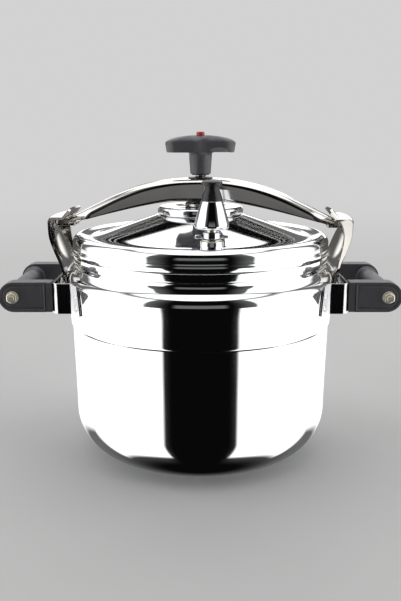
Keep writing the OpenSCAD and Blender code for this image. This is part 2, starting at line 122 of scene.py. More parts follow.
def new_material(name, **shader):
    """An empty material with its shader's plain values set on the shader's own sockets."""
    material = bpy.data.materials.new(name)
    material.use_nodes = True
    tree = material.node_tree
    tree.nodes.clear()
    bsdf = put(tree, "BsdfPrincipled", {k.replace("_", " "): v for k, v in shader.items()})
    put(tree, "OutputMaterial", links={"Surface": bsdf.outputs[0]})
    return material, tree, bsdf


def spun_metal(name, light, dark, rough, line_mm, depth):
    """Metal buffed while it turned: faint rings about Z, and soft clouds where the mop dwelt."""
    material, tree, bsdf = new_material(name, Metallic=1.0)
    place = put(tree, "TexCoord")
    xyz = put(tree, "SeparateXYZ", links={0: place.outputs["Object"]})
    flat = put(tree, "CombineXYZ", links={0: xyz.outputs[0], 1: xyz.outputs[1]})
    radius = put(tree, "VectorMath", links={0: flat.outputs[0]}, operation="LENGTH")
    ring = put(tree, "CombineXYZ", links={0: radius.outputs["Value"], 2: xyz.outputs[2]})
    lines = put(tree, "TexNoise", {"Scale": 1000 / line_mm, "Detail": 3.0, "Roughness": 0.6},
                {"Vector": ring.outputs[0]})
    clouds = put(tree, "TexNoise", {"Scale": 22.0, "Detail": 4.0, "Distortion": 0.6},
                 {"Vector": place.outputs["Object"]})
    tint = put(tree, "Mix", {6: srgb(light), 7: srgb(dark)}, {0: clouds.outputs[0]},
               data_type="RGBA")
    polish = put(tree, "MapRange", {1: 0.3, 2: 0.75, 3: rough[0], 4: rough[1]},
                 {0: clouds.outputs[0]})
    grain = put(tree, "MapRange", {1: 0.3, 2: 0.7, 3: -0.012, 4: 0.012}, {0: lines.outputs[0]})
    total = put(tree, "Math", links={0: polish.outputs[0], 1: grain.outputs[0]}, operation="ADD")
    relief = put(tree, "Bump", {"Strength": 1.0, "Distance": depth},
                 {"Height": lines.outputs[0]})
    tree.links.new(tint.outputs[2], bsdf.inputs["Base Color"])
    tree.links.new(total.outputs[0], bsdf.inputs["Roughness"])
    tree.links.new(relief.outputs[0], bsdf.inputs["Normal"])
    return material


# Buffed drawn aluminium: a bright, slightly blue-white mirror with 1.6 mm buffing rings
# (the real ones are finer, and are drawn this coarse so that they show at all).
pot_metal = spun_metal("buffed_drawn_aluminium", "#eceded", "#dfe0e3",
                       rough=(0.035, 0.085), line_mm=1.6, depth=1.2e-6)

outer = arc(pot_r - pot_base - base_corner, base_corner, base_corner, -90, 0, 30)
outer += [(pot_r - 2.2, 70), (pot_r - 1.6, 95), (pot_r - 0.9, 120), (pot_r - 0.35, rim_z - 85)]
outer += flow([(pot_r - 0.25, rim_z - 82.6), (pot_r + 0.75, rim_z - 81.4),
               (pot_r + 1.25, rim_z - 80), (pot_r + 1.4, rim_z - 77.5)], 3)
outer += [(pot_r + 1.75, rim_z - 70), (pot_r + 2.2, rim_z - 61), (pot_r + 2.95, rim_z - 52),
          (pot_r + 3.6, rim_z - 44.5)]
outer += arc(pot_r - 9.2, rim_z - 40, 13, 0, 56, 16)
outer += flow([(pot_r - 3.2, rim_z - 27.4), (pot_r - 4.4, rim_z - 25.2),
               (pot_r - 5.3, rim_z - 23.2), (pot_r - 5.6, rim_z - 21),
               (pot_r - 5.1, rim_z - 18.7), (pot_r - 4, rim_z - 17.2),
               (pot_r - 3.5, rim_z - 15.9)], 4)
outer += [(pot_r - 3.5, rim_z - 9), (pot_r - 4.2, rim_z - 8.2), (pot_r - 6.7, rim_z - 8.2),
          (pot_r - 6.7, rim_z - 0.6), (pot_r - 7.3, rim_z), (pot_r - 9.1, rim_z),
          (pot_r - 9.7, rim_z - 0.6), (pot_r - 9.7, rim_z - 15)]
inner = flow([(pot_r - 9.4, rim_z - 17.4), (pot_r - 8.6, rim_z - 21), (pot_r - 8.2, rim_z - 24.4),
              (pot_r - 5.2, rim_z - 29.4), (pot_r - 1.6, rim_z - 33.6)], 4)
inner += [(pot_r + 0.8, rim_z - 40), (pot_r + 0.8, rim_z - 44), (pot_r - 0.8, rim_z - 61),
          (pot_r - 1.7, rim_z - 79.5), (pot_r - 3.2, rim_z - 82.5), (pot_r - 4.6, 100),
          (pot_r - pot_base - pot_wall, base_corner)]
inner += arc(pot_r - pot_base - base_corner, base_corner, base_corner - pot_wall, -6, -90, 24)
piece(turned([(0, 0)] + outer + inner + [(0, pot_wall)], 160), "pot_shell", "pot",
      pot_metal, ["pot_body"])


# ---- Hooks -------------------------------------------------------------------------
# Two pressed stainless hooks riveted to the shoulder. Each rises outwards, turns over
# the rim with a small up-turned lip, and has one edge flanged in to stiffen it.
hook_t = 2.5
hook_half = 41.0           # half the width across the hook
hook_foot = rim_z - 60     # lower edge, on the shoulder
plate_z = rim_z + 28.2     # underside of the plate the yoke slides under


def wall_r(z):
    """Radius of the shoulder that the hooks and brackets are riveted to."""
    return pot_r + 2.2 + 1.6 * (z - (rim_z - 61)) / 19


def trim(bm, point, away):
    """Cuts off what lies beyond a plane, and closes the cut."""
    cut = bmesh.ops.bisect_plane(bm, geom=bm.verts[:] + bm.edges[:] + bm.faces[:], dist=1e-7,
                                 plane_co=Vector(point) * mm, plane_no=away, clear_outer=True)
    edges = [g for g in cut["geom_cut"] if isinstance(g, bmesh.types.BMEdge)]
    bmesh.ops.edgeloop_fill(bm, edges=edges)


def rounded(obj, width, segments=3, angle=35):
    """Breaks the sharp edges of a pressed or moulded piece."""
    bevel = obj.modifiers.new("broken_edges", "BEVEL")
    bevel.width = width * mm
    bevel.segments = segments
    bevel.limit_method = "ANGLE"
    bevel.angle_limit = math.radians(angle)
    bevel.harden_normals = False
    return obj


def sheet_metal(name, light, dark, rough, axis_scale, depth):
    """Polished sheet: long fine belt marks one way, and a soft change of polish."""
    material, tree, bsdf = new_material(name, Metallic=1.0)
    place = put(tree, "TexCoord")
    along = put(tree, "Mapping", {"Scale": axis_scale}, {"Vector": place.outputs["Object"]})
    marks = put(tree, "TexNoise", {"Scale": 1.0, "Detail": 4.0, "Roughness": 0.65},
                {"Vector": along.outputs[0]})
    clouds = put(tree, "TexNoise", {"Scale": 30.0, "Detail": 3.0},
                 {"Vector": place.outputs["Object"]})
    tint = put(tree, "Mix", {6: srgb(light), 7: srgb(dark)}, {0: clouds.outputs[0]},
               data_type="RGBA")
    polish = put(tree, "MapRange", {1: 0.3, 2: 0.75, 3: rough[0], 4: rough[1]},
                 {0: clouds.outputs[0]})
    grain = put(tree, "MapRange", {1: 0.3, 2: 0.7, 3: -0.02, 4: 0.02}, {0: marks.outputs[0]})
    total = put(tree, "Math", links={0: polish.outputs[0], 1: grain.outputs[0]}, operation="ADD")
    relief = put(tree, "Bump", {"Strength": 1.0, "Distance": depth}, {"Height": marks.outputs[0]})
    tree.links.new(tint.outputs[2], bsdf.inputs["Base Color"])
    tree.links.new(total.outputs[0], bsdf.inputs["Roughness"])
    tree.links.new(relief.outputs[0], bsdf.inputs["Normal"])
    return material


# Polished stainless sheet: a slightly warm grey mirror with belt marks along the press.
hook_metal = sheet_metal("polished_stainless_hook", "#cbc8c2", "#b2aea8", (0.07, 0.14),
                         (900, 900, 60), 1.5e-6)

hook_line = [(wall_r(hook_foot) + hook_t, hook_foot), (pot_r + 6.4, rim_z - 41),
             (pot_r + 10.6, rim_z - 20.5), (pot_r + 17.9, rim_z - 0.8),
             (pot_r + 21.3, rim_z + 11.2), (pot_r + 22.1, rim_z + 24)]
hook_outer = flow(hook_line, 5) + arc(pot_r + 17.1, plate_z - 2.5, 2.5 + hook_t, 0, 90, 6)
hook_outer += [(pot_r + 7.2, plate_z + hook_t), (pot_r + 0.6, plate_z + 6.9 + hook_t)]
hook_inner = [(pot_r - 1.2, plate_z + 5.1 + hook_t), (pot_r + 6.1, plate_z)]
hook_inner += arc(pot_r + 17.1, plate_z - 2.5, 2.5, 90, 0, 5)
hook_inner += flow([(pot_r + 19.6, rim_z + 24), (pot_r + 18.75, rim_z + 11.5),
                    (pot_r + 15.4, rim_z - 0.2), (pot_r + 8.1, rim_z - 20.1),
                    (pot_r + 3.8, rim_z - 42), (wall_r(hook_foot), hook_foot)], 5)
flange_foot = rim_z - 22
flange_lean = 2.6          # the flange is bent a little short of square
flange_inner = flow([(pot_r + 8.5, plate_z), (pot_r + 10.9, rim_z + 23.5),
                     (pot_r + 12.6, rim_z + 17), (pot_r + 12.9, rim_z + 10),
                     (pot_r + 12.1, rim_z + 2), (pot_r + 10.2, rim_z - 7),
                     (pot_r + 8.3, rim_z - 15.5), (pot_r + 7.6, flange_foot)], 4)
for side, turn in (("right", 0), ("left", math.pi)):
    about = Matrix.Rotation(turn, 4, "Z")
    bm = bmesh.new()
    line = [bm.verts.new((r * mm, 0, z * mm)) for r, z in hook_outer + hook_inner]
    for a, b in zip(line, line[1:] + line[:1]):
        bm.edges.new((a, b))
    bmesh.ops.rotate(bm, verts=bm.verts, cent=(0, 0, 0), matrix=Matrix.Rotation(-0.36, 3, "Z"))
    bmesh.ops.spin(bm, geom=bm.verts[:] + bm.edges[:], axis=(0, 0, 1), cent=(0, 0, 0),
                   angle=0.72, steps=30)
    bmesh.ops.recalc_face_normals(bm, faces=bm.faces)
    h = hook_half
    trim(bm, (0, h, 0), (0, 1, 0))
    trim(bm, (0, -h, 0), (0, -1, 0))
    for s in (-1, 1):
        trim(bm, (0, s * (h - 5), hook_foot - 1), (0, s * 15, -5))
    trim(bm, (0, -h, rim_z + 30), (0, -10, 8))
    trim(bm, (0, h, rim_z), (0, 8, 2))
    trim(bm, (0, h - 2, rim_z + 8), (0, 32, 20))
    bmesh.ops.recalc_face_normals(bm, faces=bm.faces)
    bmesh.ops.transform(bm, matrix=about, verts=bm.verts)
    sheet = piece(bm, f"hook_{side}_sheet", "pot", hook_metal, [f"hook_{side}"])
    rounded(sheet, 1.1)
    # the flange, a crescent turned in along one edge
    bm = bmesh.new()
    edge = [(r, z) for r, z in hook_outer if flange_foot <= z and r > pot_r + 8.5]
    lean = [0.0] * len(edge) + [-flange_lean] * len(flange_inner)
    edge += flange_inner
    rim = [bm.verts.new((math.sqrt(r * r - h * h) * mm, (dy - h) * mm, z * mm))
           for (r, z), dy in zip(edge, lean)]
    face = bm.faces.new(rim)
    grown = bmesh.ops.extrude_face_region(bm, geom=[face])
    bmesh.ops.translate(bm, vec=(0, hook_t * mm, 0),
                        verts=[g for g in grown["geom"] if isinstance(g, bmesh.types.BMVert)])
    bmesh.ops.translate(bm, vec=(0, -0.05 * mm, 0), verts=bm.verts)
    bmesh.ops.recalc_face_normals(bm, faces=bm.faces)
    bmesh.ops.transform(bm, matrix=about, verts=bm.verts)
    rounded(piece(bm, f"hook_{side}_flange", "pot", hook_metal), 0.7)


# ---- Handle brackets ---------------------------------------------------------------
# Bright steel straps bent to a hat shape: two feet riveted to the shoulder, two cheeks
# and a flat web that the handle arms are screwed to.
za = rim_z - 46.5          # height of the handle axis
arm_half = 62.0            # outer faces of the two arms
web_x = pot_r + 11.3
strap_t = 2.0
strap_bend = 6.5
cheek_y = arm_half + 1.5
foot_a = math.degrees(math.asin(cheek_y / (pot_r + 3)))

# Nickel-bright strap steel: a clean cool mirror with upright roller marks.
strap_metal = sheet_metal("bright_strap_steel", "#dcdcdc", "#c6c6c8", (0.06, 0.12),
                          (1100, 1100, 40), 1.5e-6)

z0, z1 = za - 17, za + 14.5                # lower and upper edges of the strap
half = arc(0, 0, wall_r(z0) + strap_t, -foot_a - 5.6, -foot_a - 1.2, 5)
foot_x = wall_r(z0) * math.cos(math.radians(foot_a))
half += flow([(foot_x + 3.2, -cheek_y - 0.6), (foot_x + 5.2, -cheek_y)], 2)
half += [(web_x - strap_bend - 3, -cheek_y)]
half += arc(web_x - strap_bend, -cheek_y + strap_bend, strap_bend, -90, 0, 7)
half += [(web_x, -50), (web_x, -25)]
for side, s in (("right", 1), ("left", -1)):
    bm = bmesh.new()
    plan = half + [(web_x, 0)] + [(x, -y) for x, y in reversed(half)]
    line = [bm.verts.new((x * mm, y * mm, z0 * mm)) for x, y in plan]
    wire = [bm.edges.new((a, b)) for a, b in zip(line, line[1:])]
    grown = bmesh.ops.extrude_edge_only(bm, edges=wire)
    bmesh.ops.translate(bm, vec=(0, 0, (z1 - z0) * mm),
                        verts=[g for g in grown["geom"] if isinstance(g, bmesh.types.BMVert)])
    for vert in bm.verts:                     # the feet lean out with the shoulder
        if abs(vert.co.y) > (cheek_y + 0.3) * mm and vert.co.z > za * mm:
            r = vert.co.xy.length
            vert.co.xy *= (r + (wall_r(z1) - wall_r(z0)) * mm) / r
    bmesh.ops.recalc_face_normals(bm, faces=bm.faces)
    out = sum(f.normal.x for f in bm.faces if f.calc_center_median().x > (web_x - 1) * mm)
    bmesh.ops.solidify(bm, geom=bm.faces[:], thickness=strap_t * mm * (1 if out > 0 else -1))
    bmesh.ops.recalc_face_normals(bm, faces=bm.faces)
    if s < 0:
        bmesh.ops.scale(bm, vec=(-1, 1, 1), verts=bm.verts)
        bmesh.ops.reverse_faces(bm, faces=bm.faces)
    rounded(piece(bm, f"bracket_{side}_strap", "pot", strap_metal,
                  [f"bracket_{side}"]), 0.5)


# ---- Rivets ------------------------------------------------------------------------
# Solid aluminium rivets with low domed heads, set through the wall. They keep the
# machined shape of the frame and only need the skin of a struck head.
def struck_metal(name, light, dark, rough, grain_mm, depth):
    """Bare metal with the small dents and dull patches of a tool or a plating bath."""
    material, tree, bsdf = new_material(name, Metallic=1.0)
    place = put(tree, "TexCoord")
    dents = put(tree, "TexNoise", {"Scale": 1000 / grain_mm, "Detail": 3.0},
                {"Vector": place.outputs["Object"]})
    patch = put(tree, "TexNoise", {"Scale": 160.0, "Detail": 4.0},
                {"Vector": place.outputs["Object"]})
    tint = put(tree, "Mix", {6: srgb(light), 7: srgb(dark)}, {0: patch.outputs[0]},
               data_type="RGBA")
    dull = put(tree, "MapRange", {1: 0.3, 2: 0.7, 3: rough[0], 4: rough[1]}, {0: patch.outputs[0]})
    relief = put(tree, "Bump", {"Strength": 0.6, "Distance": depth}, {"Height": dents.outputs[0]})
    tree.links.new(tint.outputs[2], bsdf.inputs["Base Color"])
    tree.links.new(dull.outputs[0], bsdf.inputs["Roughness"])
    tree.links.new(relief.outputs[0], bsdf.inputs["Normal"])
    return material


def keep(material, *names):
    """Gives CAD nodes whose shape is right their finish."""
    for name in names:
        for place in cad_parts[name].material_slots:
            place.material = material


# Cold-headed aluminium: satin, with fine hammer texture about 0.8 mm across.
rivet_metal = struck_metal("cold_headed_aluminium", "#dededf", "#c3c4c6", (0.2, 0.34), 0.8, 2e-5)
keep(rivet_metal, "hook_rivets_left", "hook_rivets_right",
     "bracket_rivets_left", "bracket_rivets_right")


# ---- Handles -----------------------------------------------------------------------
# Each handle is two moulded phenolic arms with a raised rim round a flat field, and a
# round phenolic grip clamped between them by one long bolt.
arm_t = 16.0
arm_r = 15.5
arm_end = web_x + 55
bolt_x = arm_end - arm_r + 1
grip_r = 10.5
root_w = 8.6               # thickness of the block at the arm's root

# Compression-moulded phenolic: near-black grey, satin, with a 1 mm filler fleck and
# slightly duller flow marks.
phenolic, tree, bsdf = new_material("moulded_phenolic", Metallic=0.0, IOR=1.6)
place = put(tree, "TexCoord")
fleck = put(tree, "TexNoise", {"Scale": 1100.0, "Detail": 2.0}, {"Vector": place.outputs["Object"]})
marks = put(tree, "TexNoise", {"Scale": 55.0, "Detail": 4.0, "Distortion": 1.2},
            {"Vector": place.outputs["Object"]})
tint = put(tree, "Mix", {6: srgb("#3c3c40"), 7: srgb("#4b4b50")}, {0: marks.outputs[0]},
           data_type="RGBA")
speck = put(tree, "MapRange", {1: 0.35, 2: 0.75, 3: 0.88, 4: 1.18}, {0: fleck.outputs[0]})
body_colour = put(tree, "VectorMath", links={0: tint.outputs[2], 1: speck.outputs[0]},
                  operation="MULTIPLY")
satin = put(tree, "MapRange", {1: 0.3, 2: 0.7, 3: 0.36, 4: 0.48}, {0: marks.outputs[0]})
skin = put(tree, "Bump", {"Strength": 0.5, "Distance": 2.5e-5}, {"Height": fleck.outputs[0]})
tree.links.new(body_colour.outputs[0], bsdf.inputs["Base Color"])
tree.links.new(satin.outputs[0], bsdf.inputs["Roughness"])
tree.links.new(skin.outputs[0], bsdf.inputs["Normal"])


def placed(bm, x, y, mirror_x, mirror_y):
    """Moves a finished mesh to its place and mirrors it for the other side."""
    bmesh.ops.translate(bm, vec=(x * mm, y * mm, 0), verts=bm.verts)
    bmesh.ops.scale(bm, vec=(mirror_x, mirror_y, 1), verts=bm.verts)
    if mirror_x * mirror_y < 0:
        bmesh.ops.reverse_faces(bm, faces=bm.faces)
    return bm


def extruded(bm, face, vec):
    """Raises a face into a closed solid."""
    grown = bmesh.ops.extrude_face_region(bm, geom=[face])
    bmesh.ops.translate(bm, vec=Vector(vec) * mm,
                        verts=[g for g in grown["geom"] if isinstance(g, bmesh.types.BMVert)])
    bmesh.ops.recalc_face_normals(bm, faces=bm.faces)


def on_bolt(bm, sx, turn):
    """Lays a piece made along Z onto the grip bolt's axis of one handle."""
    bmesh.ops.rotate(bm, verts=bm.verts, cent=(0, 0, 0), matrix=turn)
    bmesh.ops.translate(bm, vec=(sx * bolt_x * mm, 0, za * mm), verts=bm.verts)
    return bm


to_front = Matrix.Rotation(math.pi / 2, 3, "X")
to_rear = Matrix.Rotation(-math.pi / 2, 3, "X")
for side, sx in (("right", 1), ("left", -1)):
    for end, sy in (("front", 1), ("rear", -1)):
        # the arm: a long round-ended plate with a rim, a groove and a flat field
        bm = bmesh.new()
        first = bm.verts.new(((arm_end - arm_r) * mm, 0, (za - arm_r) * mm))
        bmesh.ops.spin(bm, geom=[first], cent=((arm_end - arm_r) * mm, 0, za * mm),
                       axis=(0, -1, 0), angle=math.pi, steps=28)
        bm.verts.ensure_lookup_table()
        ends = [v for v in bm.verts if len(v.link_edges) == 1]
        back = [bm.verts.new(((web_x + 6) * mm, 0, v.co.z)) for v in ends]
        for a, b in zip(ends, back):
            bm.edges.new((a, b))
        bm.edges.new(back)
        plate = bmesh.ops.edgeloop_fill(bm, edges=bm.edges[:])["faces"][0]
        extruded(bm, plate, (0, arm_t, 0))
        front = min(bm.faces, key=lambda f: f.calc_center_median().y)
        for inset, sink in ((2.4, 0), (0.5, -1.3), (1.5, 0), (0.5, 0.9)):
            bmesh.ops.inset_region(bm, faces=[front], thickness=inset * mm, depth=sink * mm,
                                   use_even_offset=True, use_boundary=True)
        placed(bm, 0, -arm_half, sx, sy)
        arm = piece(bm, f"arm_{side}_{end}_plate", "pot", phenolic,
                    [f"arm_{side}_{end}"])
        rounded(arm, 0.9, 3)
        # the root block that bears on the strap, a little proud of the arm
        bm = bmesh.new()
        bmesh.ops.create_cube(bm, size=1)
        bmesh.ops.scale(bm, vec=(root_w * mm, arm_t * mm, 2 * arm_r * mm), verts=bm.verts)
        bmesh.ops.translate(bm, vec=((web_x + root_w / 2) * mm, arm_t / 2 * mm, za * mm),
                            verts=bm.verts)
        placed(bm, 0, -arm_half, sx, sy)
        rounded(piece(bm, f"arm_{side}_{end}_root", "pot", phenolic), 1.4, 4)
    g = arm_half - arm_t
    half_bar = [(grip_r, g + 2), (grip_r, g), (grip_r + 2.5, g), (grip_r + 2.6, g - 1.4),
                (grip_r + 0.7, g - 4), (grip_r + 0.1, g - 9), (grip_r + 0.25, g - 20)]
    bar = [(0, g + 2)] + half_bar[:2] + flow(half_bar[2:], 4) + [(grip_r + 0.4, 0)]
    bm = on_bolt(turned(bar + [(r, -z) for r, z in reversed(bar[:-1])], 64), sx, to_front)
    piece(bm, f"grip_{side}_bar", "pot", phenolic, [f"grip_{side}"])


# ---- Grip bolts and nuts -----------------------------------------------------------
# M6 zinc-plated bolts with a yellow tint. The nut and the bolt's end show on the front
# arm over a plain washer, and the bolt's head on the rear arm.
# Yellow-passivated zinc: a pale straw metal, a little cloudy.
zinc = struck_metal("yellow_zinc_plate", "#f8f4e8", "#e8e0c8", (0.34, 0.5), 0.6, 1e-5)


def hexagon(flat_r, low, high):
    """A six-sided nut or bolt head standing on Z, with its corners turned off."""
    bm = bmesh.new()
    bmesh.ops.create_cone(bm, cap_ends=True, segments=6, radius1=flat_r * mm, radius2=flat_r * mm,
                          depth=(high - low) * mm)
    bmesh.ops.translate(bm, vec=(0, 0, (low + high) / 2 * mm), verts=bm.verts)
    top = max(bm.faces, key=lambda f: f.calc_center_median().z)
    bmesh.ops.inset_region(bm, faces=[top], thickness=0.11 * flat_r * mm, use_even_offset=True)
    for v in [v for v in bm.verts if v.co.z > (high - 0.01) * mm]:
        if v.co.xy.length > 0.95 * flat_r * mm:
            v.co.z -= 0.09 * flat_r * mm
    bmesh.ops.recalc_face_normals(bm, faces=bm.faces)
    return bm


def threaded(r, z0, z1, pitch, steps=24):
    """A rod with a real helical ridge."""
    bm = turned([(0, z0), (r - 0.25 * pitch, z0), (r - 0.25 * pitch, z1), (0, z1)], steps)
    base = [bm.verts.new(((r - 0.55 * pitch) * mm, 0, (z0 + 0.1 * pitch) * mm)),
            bm.verts.new((r * mm, 0, (z0 + 0.5 * pitch) * mm)),
            bm.verts.new(((r - 0.55 * pitch) * mm, 0, (z0 + 0.9 * pitch) * mm))]
    tri = [bm.edges.new((base[i], base[(i + 1) % 3])) for i in range(3)]
    turns = (z1 - z0 - pitch) / pitch
    count = int(steps * turns)
    swept = bmesh.ops.spin(bm, geom=base + tri, axis=(0, 0, 1), cent=(0, 0, 0),
                           dvec=(0, 0, pitch * mm / steps), angle=math.tau * count / steps,
                           steps=count)
    last = [g for g in swept["geom_last"] if isinstance(g, bmesh.types.BMEdge)]
    bmesh.ops.edgeloop_fill(bm, edges=tri)
    bmesh.ops.edgeloop_fill(bm, edges=last)
    bmesh.ops.recalc_face_normals(bm, faces=bm.faces)
    return bm


washer_t = 1.2
for side, sx in (("right", 1), ("left", -1)):
    bm = on_bolt(threaded(3.0, arm_half - 2, arm_half + 7.6, 1.0), sx, to_front)
    piece(bm, f"grip_bolt_{side}_thread", "pot", zinc, [f"grip_bolt_{side}"])
    bm = on_bolt(hexagon(5.8, arm_half, arm_half + 4), sx, to_rear)
    rounded(piece(bm, f"grip_bolt_{side}_head", "pot", zinc), 0.25, 2)
    bm = on_bolt(hexagon(5.75, arm_half + washer_t, arm_half + 6), sx, to_front)
    nut = piece(bm, f"grip_nut_{side}_hex", "pot", zinc, [f"grip_nut_{side}"])
    rounded(nut, 0.25, 2)
    bm = turned([(0, arm_half), (6.3, arm_half), (6.3, arm_half + washer_t),
                 (0, arm_half + washer_t)], 40)
    bm = on_bolt(bm, sx, to_front)
    rounded(piece(bm, f"grip_washer_{side}", "pot", zinc), 0.2, 2)
keep(zinc, "arm_screws_left", "arm_screws_right")


# ---- Lid ---------------------------------------------------------------------------
# A pressed aluminium cone inside a sunk brim. The brim rises to a rolled rim with a skirt
# that drops over the pot. It is buffed like the pot and has two raised pads for valves.
lid_t = 2.6
top_z = rim_z + 31.5       # flat centre under the pressure disc
cone_in = 46.0
cone_out = pot_r - 35.5    # foot of the cone, inside the sunk brim
cone_fall = 19.3
valve_r = 100.5            # distances of the two valves from the lid's axis
safe_r = 86.0
valve_turn = -83.9         # and their directions in degrees
safe_turn = 97.0
pad_r = 11.0
valve_at = Vector(arc(0, 0, valve_r, valve_turn, 0, 1)[0]) * mm
safe_at = Vector(arc(0, 0, safe_r, safe_turn, 0, 1)[0]) * mm


def cone_z(r):
    """Height of the lid's cone at a radius."""
    return top_z - cone_fall * (r - cone_in) / (cone_out - cone_in)


def on_axis(bm, spot):
    """Moves a turned piece onto a valve's axis."""
    bmesh.ops.translate(bm, vec=(spot.x, spot.y, 0), verts=bm.verts)
    return bm


valve_z = cone_z(valve_r - pad_r) + 0.2    # tops of the two pads
safe_z = cone_z(safe_r - pad_r) + 0.2
# Buffed pressed aluminium: the pot's mirror with slightly finer rings.
lid_metal = spun_metal("buffed_pressed_aluminium", "#edeeee", "#e0e1e4",
                       rough=(0.04, 0.09), line_mm=1.3, depth=1.2e-6)
skin_top = [(0, top_z), (cone_in - 3, top_z), (cone_in, top_z), (cone_in + 3, cone_z(cone_in + 3))]
skin_top += [(r, cone_z(r)) for r in (60, 72, 84, 96)]
skin_top += flow([(cone_out - 2, cone_z(cone_out - 2)), (cone_out + 1, rim_z + 11.9),
                  (pot_r - 31, rim_z + 10.95), (pot_r - 27.5, rim_z + 10.3),
                  (pot_r - 22.5, rim_z + 10), (pot_r - 18.5, rim_z + 10.5),
                  (pot_r - 15, rim_z + 11.6)], 3)
skin_top += arc(pot_r - 11.5, rim_z + 4.1, 8.5, 100, 0, 20)
skin_top += [(pot_r - 3, rim_z + 2), (pot_r - 3, rim_z + 0.5)]
skin_top += flow([(pot_r - 3, rim_z - 0.9), (pot_r - 2.55, rim_z - 1.9), (pot_r - 2.3, rim_z - 3.6),
                  (pot_r - 2.5, rim_z - 5.6), (pot_r - 3.1, rim_z - 7.5)], 3)
skin_low = [(pot_r - 5.6, rim_z - 7.5), (pot_r - 5.6, rim_z + 6.5)]
skin_low += arc(pot_r - 8, rim_z + 6.5, 2.4, 15, 90, 5)
skin_low += [(pot_r - 12.2, rim_z + 8.9), (pot_r - 15, rim_z + 8.7),
             (pot_r - 18.5, rim_z + 10.5 - lid_t), (pot_r - 22.5, rim_z + 9.95 - lid_t),
             (pot_r - 28, rim_z + 10.3 - lid_t), (cone_out - 1, rim_z + 12.2 - lid_t),
             (cone_in, top_z - lid_t), (0, top_z - lid_t)]
bm = turned(skin_top + skin_low, 160)
piece(bm, "lid_shell", "lid", lid_metal, ["lid"])
for label, spot, z in (("valve", valve_at, valve_z), ("safety", safe_at, safe_z)):
    pad = [(5.2, z - 3), (5.2, z), (9.6, z)] + arc(9.6, z - 1.4, 1.4, 85, 10, 5)
    pad += [(pad_r, z - 9), (9.5, z - 9), (9.5, z - 3)]
    bm = on_axis(turned(pad, 72, closed=True), spot)
    piece(bm, f"lid_pad_{label}", "lid", lid_metal)

# The sealing ring: black nitrile rubber, a matt moulded skin with a faint bloom.
rubber, tree, bsdf = new_material("nitrile_rubber", Metallic=0.0, IOR=1.52)
place = put(tree, "TexCoord")
bloom = put(tree, "TexNoise", {"Scale": 240.0, "Detail": 5.0}, {"Vector": place.outputs["Object"]})
tint = put(tree, "Mix", {6: srgb("#17171a"), 7: srgb("#26262a")}, {0: bloom.outputs[0]},
           data_type="RGBA")
matt = put(tree, "MapRange", {1: 0.3, 2: 0.7, 3: 0.62, 4: 0.8}, {0: bloom.outputs[0]})
tree.links.new(tint.outputs[2], bsdf.inputs["Base Color"])
tree.links.new(matt.outputs[0], bsdf.inputs["Roughness"])
keep(rubber, "lid_gasket", "valve_seal", "safety_seal")


# ---- Pressure disc -----------------------------------------------------------------
# A thick buffed disc with a rolled edge at the centre of the lid. The screw's foot
# presses on its slightly sunk middle.
disc_z = top_z + 9.2
disc_r = 45.5
edge = [(0, top_z), (disc_r - 3, top_z)] + arc(disc_r - 2.2, top_z + 2.4, 2.2, -75, 0, 6)
edge += [(disc_r, top_z + 4.4)] + arc(disc_r - 3, disc_z - 3.2, 3, 0, 92, 9)
edge += [(disc_r - 8, disc_z - 0.3), (32, disc_z - 0.28), (25.4, disc_z - 0.3), (24, disc_z - 0.8),
         (0, disc_z - 0.8)]
# Buffed thick aluminium: a little greyer, with the lathe's 1 mm rings left in it.
disc_metal = spun_metal("buffed_disc_aluminium", "#ebebed", "#d9dadd",
                        rough=(0.05, 0.11), line_mm=1.0, depth=1.5e-6)
piece(turned(edge, 128), "pressure_disc_turned", "lid", disc_metal,
      ["pressure_disc"])


# ---- Weighted valve ----------------------------------------------------------------
# A brass stem through the lid held by a ring nut with two side pegs, and on it a loose
# weight: a chromed skirt under a black plastic cover with a mushroom cap.
# Turned brass under a thin nickel plate that has dulled and warmed in the steam.
brass = struck_metal("nickel_plated_brass", "#dbd6c8", "#c6bda6", (0.16, 0.3), 0.5, 8e-6)
# Bright chrome plate over a turned weight: nearly black and white, with no grain.
chrome = spun_metal("bright_chrome_plate", "#dfe1e4", "#d2d4d8", (0.03, 0.07), 0.9, 5e-7)

weight_z = valve_z + 11.3  # lower edge of the weight's skirt
weight_r = 16.7
peg_z = valve_z + 3.7
stem = [(0, -10.5), (5, -10.5), (5, 0), (9, 0), (9, 1.2), (5, 1.6), (5, 11.1), (4.2, 11.9),
        (3, 13.9), (3, 36.9), (1.2, 39.9), (0, 39.9)]
bm = on_axis(turned([(r, valve_z + z) for r, z in stem], 48), valve_at)
rounded(piece(bm, "valve_stem_turned", "lid", brass, ["valve_stem"]), 0.25, 2)
ring = [(5.05, 1.7), (7.4, 1.7), (8, 2.3), (8, 7.7), (7.4, 8.3), (5.05, 8.3)]
bm = on_axis(turned([(r, valve_z + z) for r, z in ring], 48, closed=True), valve_at)
rounded(piece(bm, "valve_ring_nut", "lid", chrome, ["valve_ring"]), 0.3, 2)
for side, s in (("left", -1), ("right", 1)):
    bm = turned([(0, 6.2), (1.9, 6.2)] + arc(1.1, 15.2, 0.8, 0, 80, 4) + [(0, 16)], 24)
    sideways = Matrix.Rotation(s * math.pi / 2, 3, "Y")
    bmesh.ops.rotate(bm, verts=bm.verts, cent=(0, 0, 0), matrix=sideways)
    bmesh.ops.translate(bm, vec=(0, 0, peg_z * mm), verts=bm.verts)
    piece(on_axis(bm, valve_at), f"valve_peg_{side}", "lid", chrome)
keep(brass, "valve_nut")

